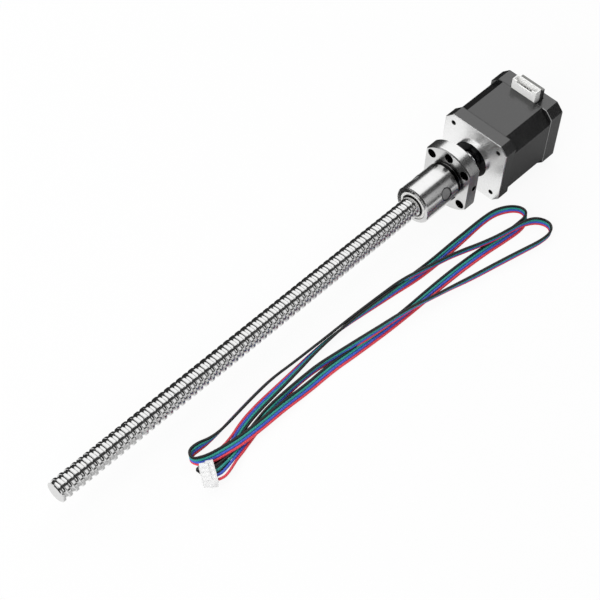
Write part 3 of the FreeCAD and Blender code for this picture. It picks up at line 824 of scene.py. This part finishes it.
def raceway_screw():
    """One turn's profile swept along the screw, cut to length, with the turned shaft behind it."""
    screw = round_profile("raceway_screw", groove_corners, groove_radius,
                          groove_start, groove_centre_radius)
    half_mouth = math.sqrt(groove_radius ** 2 - (groove_centre_radius - crest_radius) ** 2)
    mouth_end = groove_start + half_mouth
    land = screw_lead - 2 * half_mouth
    bpy.ops.object.mode_set(mode="EDIT")
    slice_at((0, 0, crest_radius), (0, 0, 1), clear_outer=True)
    pull(screw, (land, 0, 0), verts=lambda at: at.x > (mouth_end - pick_margin) * mm)
    edit_pick(screw, verts=lambda at: abs(at.z - crest_radius * mm) < pick_margin * mm
              and abs(at.x - mouth_end * mm) < pick_margin * mm)
    bpy.ops.mesh.bevel(offset=land_bevel * mm, segments=2, affect="VERTICES")
    bpy.ops.object.mode_set(mode="OBJECT")
    sweep_round(screw, screw_lead, screw_turns, raceway_steps)
    slice_at((screw_start, 0, 0), (1, 0, 0), clear_inner=True, use_fill=True)
    slice_at((screw_end - tip_bevel, 0, 0), (1, 0, 0))
    slice_at((screw_end, 0, 0), (1, 0, 0), clear_outer=True, use_fill=True)
    bevel_tip(screw)
    turn_shaft()
    bpy.ops.object.mode_set(mode="OBJECT")
    settle(screw, angle=40)
    even = screw.modifiers.new("even_shading", "WEIGHTED_NORMAL")
    even.keep_sharp = True
    even.weight = 100
    bpy.ops.object.modifier_apply(modifier="even_shading")
    dress(screw, rolled_steel)
    return screw


screw = raceway_screw()
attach(screw, "screw")
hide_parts("ball_screw")

# Finishes of the pieces that stay as the frame gives them
finish_of = {
    "front_end_cap": cap_face, "rear_end_cap": cap_black, "tie_screws": screw_black,
    "stator_stack": stack_black, "front_coil_bobbin": bobbin_plastic,
    "rear_coil_bobbin": bobbin_plastic, "stator_windings": winding_copper,
    "rotor_rear_cup": rotor_steel, "rotor_front_cup": rotor_steel, "rotor_magnet": magnet_grey,
    "rotor_spacer": bearing_steel, "wave_washer": bearing_steel, "nut_body": nut_steel,
    "ball_deflectors": deflector_grey, "rear_wiper": wiper_white, "front_wiper": wiper_white,
    "socket_housing": socket_white, "socket_pins": pin_shade, "terminal_board": board_dark,
    "white_plug_contacts": contact_tin, "black_plug_contacts": contact_tin}
for end in ("front", "rear"):
    for piece in ("outer_ring", "inner_ring", "shields", "balls", "cage"):
        finish_of[end + "_bearing_" + piece] = bearing_steel
for name, finish in finish_of.items():
    dress(nodes_of_cad[name], finish)

# Floor, cards, lamps and background: the floor's and lamps' sizes and places are in metres
floor_size = 6
floor_shade = 0.9
floor_share_seen = 0.92
floor_share_mirrored = 0.78
card_lift = 0.2
background_white = (1, 1, 1)
background_dim = (0.05, 0.05, 0.05)


def matt_finish(name, shade, roughness):
    """A plain grey without gloss, for what isn't part of the object."""
    finish, shader = bare_finish(name, roughness=roughness)
    shader.inputs["Base Color"].default_value = (shade, shade, shade, 1)
    shader.inputs["Specular IOR Level"].default_value = 0.0
    return finish, shader


def white_floor():
    """A pale floor that glows white to the camera and in shiny faces, and keeps its shadows."""
    let_go()
    bpy.ops.mesh.primitive_plane_add(size=floor_size, location=(0, 0, bench * mm))
    floor = bpy.context.object
    floor.name = "white_floor"
    finish, shader = matt_finish("floor_white", floor_shade, roughness=0.8)
    tree = finish.node_tree
    glow = tree.nodes.new("ShaderNodeEmission")
    glow.inputs["Color"].default_value = (*background_white, 1)
    glow.inputs["Strength"].default_value = 1.0
    ray = tree.nodes.new("ShaderNodeLightPath").outputs
    seen = reckon(finish, ray["Is Camera Ray"], "MULTIPLY", floor_share_seen)
    mirrored = either(finish, ray["Is Glossy Ray"], ray["Is Transmission Ray"])
    mirrored = reckon(finish, mirrored, "MULTIPLY", floor_share_mirrored)
    lift = tree.nodes.new("ShaderNodeMixShader")
    tree.links.new(reckon(finish, seen, "ADD", mirrored), lift.inputs["Fac"])
    tree.links.new(shader.outputs["BSDF"], lift.inputs[1])
    tree.links.new(glow.outputs["Emission"], lift.inputs[2])
    tree.links.new(lift.outputs["Shader"], tree.nodes["Material Output"].inputs["Surface"])
    dress(floor, finish)


def dark_card(name, start, stop, shade):
    """A card of painted shade laid on the floor, seen only in reflections, to darken what shiny
    faces mirror; the camera doesn't see it.
    """
    let_go()
    middle = [(first + last) / 2 * mm for first, last in zip(start, stop)]
    bpy.ops.mesh.primitive_plane_add(size=1, location=(*middle, (bench + card_lift) * mm))
    card = bpy.context.object
    card.name = name
    card.scale = [abs(last - first) * mm for first, last in zip(start, stop)] + [1]
    bpy.ops.object.transform_apply(location=True, rotation=True, scale=True)
    card.visible_camera = False
    card.visible_diffuse = False
    card.visible_transmission = False
    card.visible_shadow = False
    finish, _ = matt_finish(name, shade, roughness=0.9)
    dress(card, finish)


def lamp(name, place, aim, width, length, brightness, mirrored=True):
    """A soft rectangular lamp aimed along a direction, whose face has the given brightness."""
    light = bpy.data.lights.new(name, "AREA")
    light.shape = "RECTANGLE"
    light.size = width
    light.size_y = length
    light.energy = brightness * math.pi * width * length
    holder = bpy.data.objects.new(name, light)
    holder.location = place
    holder.rotation_euler = Vector(aim).to_track_quat("-Z", "Y").to_euler()
    holder.visible_camera = False
    holder.visible_glossy = mirrored
    scene.collection.objects.link(holder)


white_floor()
# Patches of painted shade on the floor that only shiny faces mirror, darkest beside the screw and
# on the far side
dark_card("card_by_screw", (60, -7), (290, -45), shade=0.03)
dark_card("card_far_side", (-2900, -45), (2900, -2900), shade=0.03)
dark_card("card_by_motor", (-150, 17), (60, 150), shade=0.35)
dark_card("card_by_lead", (60, 7), (300, 120), shade=0.65)
lamp("overhead_box", place=(-0.25, -0.607, 0.739), aim=(0, 0.306, -0.952),
     width=2.3, length=1.56, brightness=1.25)
lamp("side_box", place=(-0.25, 0.924, 0.64), aim=(0, -0.789, -0.615),
     width=0.84, length=0.73, brightness=1.0)
lamp("front_box", place=(1.4, 0.35, 0.75), aim=(-1.4, -0.35, -0.75),
     width=1.3, length=1.0, brightness=4.6, mirrored=False)

world = bpy.data.worlds.new("studio")
scene.world = world
world.use_nodes = True
sky = world.node_tree
rays = sky.nodes.new("ShaderNodeLightPath")
backdrop = mixed(world, rays.outputs["Is Camera Ray"], background_dim, background_white)
sky.links.new(backdrop, sky.nodes["Background"].inputs["Color"])
